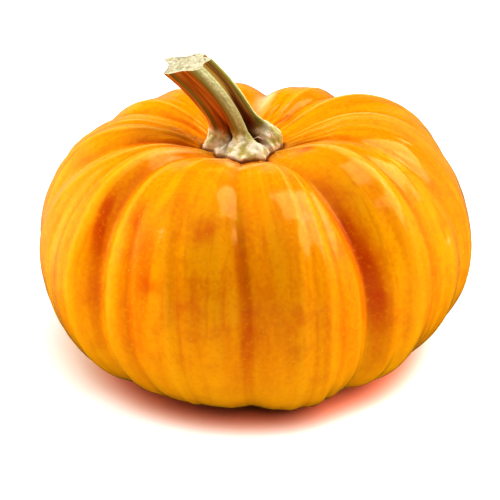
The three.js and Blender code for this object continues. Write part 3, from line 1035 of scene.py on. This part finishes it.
def masks_and_patterns(tree, place, masks, patterns):
    """What a finish is painted by: the piece's own masks, and noise of each size in mm."""
    found = {}
    for name in masks:
        found[name] = add(tree, "Attribute", {"attribute_name": name}, give="Fac")
    for name, (size, detail) in patterns.items():
        inputs = {"Vector": place, "Scale": per_metre(size), "Detail": detail}
        found[name] = add(tree, "TexNoise", None, inputs, "Fac")
    return found


def varied(tree, value, by, low, high, least, most):
    """A value scaled by another: by least where that is under low, by most where over high."""
    scale = add(tree, "MapRange", SMOOTH, {"Value": by, 1: low, 2: high, 3: least, 4: most})
    return add(tree, "Math", {"operation": "MULTIPLY"}, {0: value, 1: scale})


def lay_coats(tree, colour, coats):
    """Lays coats of colour over a ground, one after another.

    Each coat is its colour and its mask, and then, unless the mask is itself how much of the
    coat shows, the values where the coat starts and is full, and how much shows there.
    """
    for over, mask, *reach in coats:
        if reach:
            start, full, most = reach
            mask = add(tree, "MapRange", SMOOTH, {"Value": mask, 1: start, 2: full, 4: most})
        over = linear(over) if isinstance(over, str) else over
        colour = add(tree, "Mix", {"data_type": "RGBA"}, {0: mask, 6: colour, 7: over}, 2)
    return colour


def finish(tree, surface):
    """Ends a material with its shader."""
    shader = add(tree, "BsdfPrincipled", None, surface)
    add(tree, "OutputMaterial", None, {"Surface": shader}, None)


def waxed_rind():
    """Pumpkin rind: hard waxy skin over wet flesh, semi-gloss, orange, redder in the furrows.

    It gives the eye a soft bright sheen along the ribs, pale pin-prick pores, faint streaks
    down the ribs, and a deep warm colour where light has gone through the flesh. Painted
    light and shade lie on it too: the red of the furrows is partly painted shade, there is
    painted shade round the stem's foot and in the hollow beside it, a painted highlight
    along the raised lines near the crown, and a painted sheen behind the stem.
    """
    material, tree = new_material("waxed_pumpkin_rind")
    place = add(tree, "TexCoord", give="Object")
    place = add(tree, "Mapping", None, {"Vector": place, "Rotation": ASKEW})
    skin = masks_and_patterns(tree, place, RIND_MASKS, RIND_PATTERNS)
    mottle, furrow, line = skin["mottle"], skin["furrow"], skin["fine_line"]
    rib_place = add(tree, "Attribute", {"attribute_name": "rib_place"}, give="Vector")
    rib_place = add(tree, "Mapping", None, {"Vector": rib_place, "Rotation": ASKEW})
    inputs = {"Vector": rib_place, "Scale": 1 / FINE_STREAK, "Detail": 3.0}
    fine_streak = add(tree, "TexNoise", None, inputs, "Fac")

    dull = varied(tree, skin["dull_band"], mottle, 0.3, 0.7, 0.6, 1.1)
    flush_and_shade = varied(tree, furrow, mottle, 0.3, 0.7, 0.85, 1.15)
    # the red bands and spots: a deeper red of the rind, partly painted shade
    red = varied(tree, skin["red_and_shade"], mottle, 0.3, 0.7, 0.8, 1.1)
    blush = varied(tree, skin["blush"], mottle, 0.35, 0.6, 0.15, 0.55)
    # pale cream on the raised fine lines near the crown: a painted highlight along them
    raised = add(tree, "MapRange", SMOOTH, {"Value": line, 1: 0.12, 2: 0.5})
    crest = varied(tree, raised, skin["crown"], 0.5, 0.85, 0.0, 0.5)
    scar = add(tree, "Math", {"operation": "MULTIPLY"}, {0: skin["scar"], 1: 0.7})

    inputs = {"Vector": place, "Scale": per_metre(PORE_SPACING), "Randomness": 1.0}
    pores = add(tree, "TexVoronoi", None, inputs, None).outputs
    dot = add(tree, "MapRange", SMOOTH, {"Value": pores["Distance"], 1: 0.16, 2: 0.08})
    chance = add(tree, "SeparateColor", None, {"Color": pores["Color"]})
    speck = varied(tree, dot, chance, 0.2, 0.9, 0.0, 0.6)
    speck = varied(tree, speck, red, 0.0, 0.5, 1.0, 0.0)
    speck = varied(tree, speck, furrow, 0.2, 0.8, 1.0, 0.1)

    ground = lay_coats(tree, linear("#F6A406"), [("#FDB608", skin["streak"], -0.45, 0.5, 1.0)])
    coats = [
        ("#EA8E06", mottle, 0.48, 0.7, 0.45),
        ("#FFC222", fine_streak, 0.54, 0.72, 0.3),
        ("#E48206", fine_streak, 0.46, 0.3, 0.32),
        ("#FFC120", line, 0.05, 0.6, 0.5),
        ("#E27806", line, -0.05, -0.5, 0.55),
        ("#E88C06", dull, 0.1, 1.0, 0.75),
        # the flush along the furrows: deeper orange rind, partly painted shade
        ("#EE8306", flush_and_shade, 0.1, 1.1, 0.8),
        ("#DC5E06", red, 0.0, 1.0, 0.92),
        ("#FFB80E", skin["crown"], 0.3, 1.0, 0.3),
        # painted highlight on the raised lines near the crown
        ("#FFDC7C", crest),
        ("#E88C06", skin["grain"], 0.5, 0.7, 0.3),
        ("#FFBE10", skin["grain"], 0.48, 0.32, 0.3),
        ("#E25C08", blush),
        ("#E6B210", skin["underside"], 0.0, 0.9, 0.68),
        ("#FFD062", speck),
        # painted sheen behind the stem
        ("#FFEFB8", skin["painted_sheen"], 0.1, 0.9, 0.75),
        ("#FFD9A0", scar),
        # painted contact shade round the stem's foot
        ("#A84812", skin["seat"], 0.15, 1.0, 0.9),
    ]

    pit = add(tree, "Math", {"operation": "MULTIPLY"}, {0: dot, 1: -0.6})
    relief = add(tree, "Math", {"operation": "ADD"}, {0: skin["peel"], 1: pit})
    bump = add(tree, "Bump", None, {"Height": relief, "Strength": 0.25, "Distance": 0.1 * MM})
    wax = {"Value": mottle, 1: 0.3, 2: 0.7, 3: 0.09, 4: 0.15}
    wax = add(tree, "MapRange", SMOOTH, wax)
    deep = add(tree, "MapRange", SMOOTH, {"Value": furrow, 1: 0.5, 2: 0.95})
    rough = add(tree, "Mix", {"data_type": "FLOAT"}, {0: deep, 2: wax, 3: 0.24})
    surface = {
        "Base Color": lay_coats(tree, ground, coats),
        "Roughness": rough,
        "Normal": bump,
        "IOR": 1.42,
        "Specular IOR Level": 0.4,
        "Subsurface Weight": 0.06,
        "Subsurface Radius": (1.0, 0.35, 0.08),
        "Subsurface Scale": 4 * MM,
    }
    finish(tree, surface)
    return material


def dry_stalk():
    """Dry woody peduncle: matt brown fibrous facets between pale green-cream corky ridges.

    It gives the eye long dull fibres, dark splits between the ridges, a pale speckled cork
    on the ridges and the foot, and a cream cut face with the dark ends of its vessels.
    Painted shade lies in the splits, on the right-hand facets, in the pits and the hollows
    of the cork, and in a red-brown band at the foot; the knolls of the cork are partly
    painted light.
    """
    material, tree = new_material("dry_pumpkin_stalk")
    place = add(tree, "TexCoord", give="Object")
    stalk = masks_and_patterns(tree, place, STALK_MASKS, STALK_PATTERNS)
    fibre, broad_fibre = stalk["fibre"], stalk["broad_fibre"]
    speckle, patch, knoll = stalk["speckle"], stalk["patch"], stalk["knoll"]

    # the facets: warm brown on the left; on the right painted shade, duller and dark red at
    # their foot
    low_shaded_facet = lay_coats(tree, linear("#6A2E12"), [("#8E501A", fibre, -0.4, 0.4, 1.0)])
    coats = [("#A98436", fibre, -0.4, 0.4, 1.0), (low_shaded_facet, stalk["toe"], 0.0, 0.15, 1.0)]
    shaded_facet = lay_coats(tree, linear("#7A5420"), coats)
    in_shade = {0: stalk["facet_shade"], 1: 0.92}
    in_shade = add(tree, "Math", {"operation": "MULTIPLY"}, in_shade)
    coats = [
        ("#E09636", fibre, -0.5, 0.45, 1.0),
        ("#94802A", broad_fibre, 0.2, 0.55, 0.35),
        ("#74400C", fibre, -0.3, -0.55, 0.6),
        ("#B48A34", patch, 0.5, 0.75, 0.5),
        (shaded_facet, in_shade),
    ]
    wood = lay_coats(tree, linear("#C26C14"), coats)

    # the cork of the ridges and of the toes
    coats = [
        ("#F0EEC0", broad_fibre, -0.4, 0.4, 1.0),
        ("#A39A50", fibre, -0.1, -0.6, 0.6),
        ("#B9B170", speckle, 0.6, 0.4, 0.4),
    ]
    cork = lay_coats(tree, linear("#AEAA5C"), coats)
    # cream on the knolls, partly painted light, and brown in the hollows between them, painted
    # shade
    coats = [
        ("#FFF9E2", knoll, 0.25, 0.85, 1.0),
        ("#FBF3DC", speckle, 0.45, 0.62, 0.6),
        ("#96803A", speckle, 0.48, 0.34, 0.22),
        ("#C4BA54", patch, 0.44, 0.6, 0.75),
        ("#8A5E22", knoll, 0.3, 0.08, 0.8),
    ]
    toe_cork = lay_coats(tree, linear("#E2BC74"), coats)

    # the cut face, with the ends of its vessels near the rim
    inputs = {"Vector": place, "Scale": per_metre(VESSEL_SPACING)}
    vessels = add(tree, "TexVoronoi", None, inputs, "Distance")
    vessel = add(tree, "MapRange", SMOOTH, {"Value": vessels, 1: 0.2, 2: 0.12, 4: 0.8})
    vessel = varied(tree, vessel, stalk["cut_rim"], 0.62, 0.72, 0.0, 1.0)
    coats = [("#E9E3CC", speckle, 0.3, 0.7, 1.0), ("#9B8A5A", vessel)]
    face = lay_coats(tree, linear("#CCC29C"), coats)

    coats = [
        (cork, stalk["crest"], 0.3, 0.7, 1.0),
        ("#8E8B3C", stalk["border"], 0.2, 0.9, 0.7),
        (toe_cork, stalk["toe"], 0.2, 0.6, 1.0),
        # painted shade in the grooves
        ("#7A3614", stalk["groove"], 0.1, 0.8, 0.8),
        # painted shade in the pits of the foot
        ("#4E2C18", stalk["pit"]),
        # painted contact shade where the foot meets the skin
        ("#A25A1C", stalk["seam"], 0.3, 1.0, 0.85),
        (face, stalk["cut"]),
    ]
    relief = {"Height": stalk["grain"], "Strength": 0.6, "Distance": 0.2 * MM}
    surface = {
        "Base Color": lay_coats(tree, wood, coats),
        "Roughness": 0.78,
        "Normal": add(tree, "Bump", None, relief),
        "Specular IOR Level": 0.15,
    }
    finish(tree, surface)
    return material


def bast_fibre():
    """Dry bast fibre torn from the stalk: pale, pinkish white and matt, in thin curls."""
    material, tree = new_material("dry_bast_fibre")
    place = add(tree, "TexCoord", give="Object")
    tint = masks_and_patterns(tree, place, [], BAST_PATTERNS)["tint"]
    colour = lay_coats(tree, linear("#EAD0BD"), [("#F7EDDF", tint, 0.4, 0.6, 1.0)])
    finish(tree, {"Base Color": colour, "Roughness": 0.7})
    return material


def white_table():
    """Matt white laminate: takes a soft shadow, red close under the fruit where the skin's
    colour is thrown back on it, and throws light back under the fruit."""
    material, tree = new_material("white_table_laminate")
    place = add(tree, "TexCoord", give="Object")
    radius = add(tree, "VectorMath", {"operation": "LENGTH"}, {0: place}, "Value")
    # the skin's red light and shadow close under the fruit, painted into the colour the camera
    # sees
    outer, inner = CONTACT_GLOW
    coats = [("#FFA68E", radius, outer * MM, inner * MM, 1.0)]
    top = lay_coats(tree, linear("#F0EEF5"), coats)
    seen = add(tree, "LightPath", give="Is Camera Ray")
    colour = lay_coats(tree, linear("#D0CECD"), [(top, seen)])
    finish(tree, {"Base Color": colour, "Roughness": 0.9, "Specular IOR Level": 0.1})
    return material


# ---------------------------------------------------------------- light, floor and camera


def light_from(tree, direction, gradients):
    """The light of one source from each direction: its gradients, multiplied."""
    light = 1.0
    for axis, low, high, least, most in gradients:
        light = varied(tree, light, direction[axis], low, high, least, most)
    return light


def make_surround():
    """A white surround, bright overhead, behind and at both sides, and dim at the front."""
    world = bpy.data.worlds.new("white_studio")
    bpy.context.scene.world = world
    world.use_nodes = True
    tree = world.node_tree
    tree.nodes.clear()
    outward = add(tree, "TexCoord", give="Generated")
    axes = add(tree, "SeparateXYZ", None, {"Vector": outward}, None).outputs
    direction = {axis: axes[axis] for axis in "XYZ"}
    direction["across"] = add(tree, "Math", {"operation": "ABSOLUTE"}, {0: axes["X"]})

    sides = [light_from(tree, direction, gradients) for gradients in (BEHIND, FLANKS)]
    sides = add(tree, "Math", {"operation": "ADD"}, {0: sides[0], 1: sides[1]})
    overhead = light_from(tree, direction, OVERHEAD)
    cove = light_from(tree, direction, COVE)
    rays = add(tree, "LightPath", give=None).outputs
    number = {"data_type": "FLOAT"}
    light = add(tree, "Mix", number, {0: overhead, 2: sides, 3: OVERHEAD_LIGHT})
    sheen = add(tree, "Mix", number, {0: cove, 2: COVE_LIGHT[0], 3: COVE_LIGHT[1]})
    light = add(tree, "Mix", number, {0: rays["Is Glossy Ray"], 2: light, 3: sheen})
    light = add(tree, "Mix", number, {0: rays["Is Camera Ray"], 2: light, 3: BACKDROP_LIGHT})
    lit = add(tree, "Background", None, {"Color": (1, 1, 1, 1), "Strength": light})
    add(tree, "OutputWorld", None, {"Surface": lit}, None)


def make_softbox(name, compass, elevation, distance, width, height, power):
    """A soft lamp aimed at the fruit; compass 0 is behind it and 90 is to its right."""
    lamp = bpy.data.lights.new(name, "AREA")
    lamp.shape = "RECTANGLE"
    lamp.size = width
    lamp.size_y = height
    lamp.energy = power
    turn, lift = math.radians(compass), math.radians(elevation)
    level = math.cos(lift)
    away = Vector((math.sin(turn) * level, math.cos(turn) * level, math.sin(lift)))
    holder = bpy.data.objects.new(name, lamp)
    holder.location = Vector(LAMP_AIM) + away * distance
    holder.rotation_euler = away.to_track_quat("Z", "Y").to_euler()
    bpy.context.scene.collection.objects.link(holder)
    return holder


def make_table():
    """The table's top, which only its own lamp and the surround light."""
    reach = TABLE_REACH / MM
    corners = [(-reach, -reach, 0), (reach, -reach, 0), (reach, reach, 0), (-reach, reach, 0)]
    table = make_mesh("table_top", corners, [(0, 1, 2, 3)], {})
    table.data.materials.append(white_table())
    table.visible_glossy = False
    lamp = make_softbox("table_softbox", *TABLE_LAMP)
    table_only = bpy.data.collections.new("table_only")
    table_only.objects.link(table)
    lamp.light_linking.receiver_collection = table_only
    return table


def make_windows():
    """Panes of light that only the gloss of the pumpkin mirrors."""
    for pane, compass, elevation, width, height in WINDOW_PANES:
        power = PANE_POWER * width * height
        name = "window_" + pane
        lamp = make_softbox(name, compass, elevation, PANE_DISTANCE, width, height, power)
        lamp.data.color = PANE_COLOUR
        lamp.visible_diffuse = False


def make_camera(middle):
    """The camera in front of the fruit and a little above it."""
    camera = bpy.data.cameras.new("camera")
    camera.sensor_width = SENSOR_WIDTH
    camera.lens = FOCAL_PIXELS / FRAME_PIXELS * SENSOR_WIDTH
    elevation = math.radians(VIEW_ELEVATION)
    aim = Vector((np.array(VIEW_AIM) + middle) * MM)
    back = Vector((0, -math.cos(elevation), math.sin(elevation)))
    holder = bpy.data.objects.new("camera", camera)
    holder.location = aim + back * VIEW_DISTANCE
    holder.rotation_euler = back.to_track_quat("Z", "Y").to_euler()
    bpy.context.scene.collection.objects.link(holder)
    bpy.context.scene.camera = holder


# ---------------------------------------------------------------- putting it together


def find_middle():
    """Where the fruit's middle lies in the shared frame, from the solid fruit's box."""
    low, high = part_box("fruit")
    points = skin_grid()[0].reshape(-1, 3)
    centre = (points.min(axis=0) + points.max(axis=0)) / 2
    solid_centre = np.array((low + high) / 2) / MM
    ground = points[:, 2].min() + GROUND_FLAT
    return np.array([solid_centre[0] - centre[0], solid_centre[1] - centre[1], -ground])


def skin_tree(middle):
    """A search tree over the plain skin, for seating the stem on it."""
    points = skin_grid()[0] + middle
    rows, columns = points.shape[:2]
    vertices = [Vector(point) for point in points.reshape(-1, 3).tolist()]
    return BVHTree.FromPolygons(vertices, grid_faces(rows, columns))


def make_pumpkin():
    """The fruit, the stem seated in its hollow, and the fibres; gives the fruit's middle."""
    middle = find_middle()
    skirt = stem_skirt(skin_tree(middle), middle)
    heights, sections, low, _ = skirt
    rim = points_at(heights, sections, low) + middle
    fruit = make_fruit(middle, rim)
    fruit.data.materials.append(waxed_rind())
    stem = make_stem(skirt, middle)
    stem.data.materials.append(dry_stalk())
    fibres = make_fibres(middle)
    fibres.data.materials.append(bast_fibre())

    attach(fruit, "root")
    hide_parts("fruit")
    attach(stem, "root")
    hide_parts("stem")
    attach(fibres, "root")
    return middle


middle = make_pumpkin()
table = make_table()
make_surround()
make_windows()
make_camera(middle)
bpy.context.scene.view_settings.view_transform = "Standard"
bpy.context.scene.view_settings.gamma = CONTRAST_GAMMA
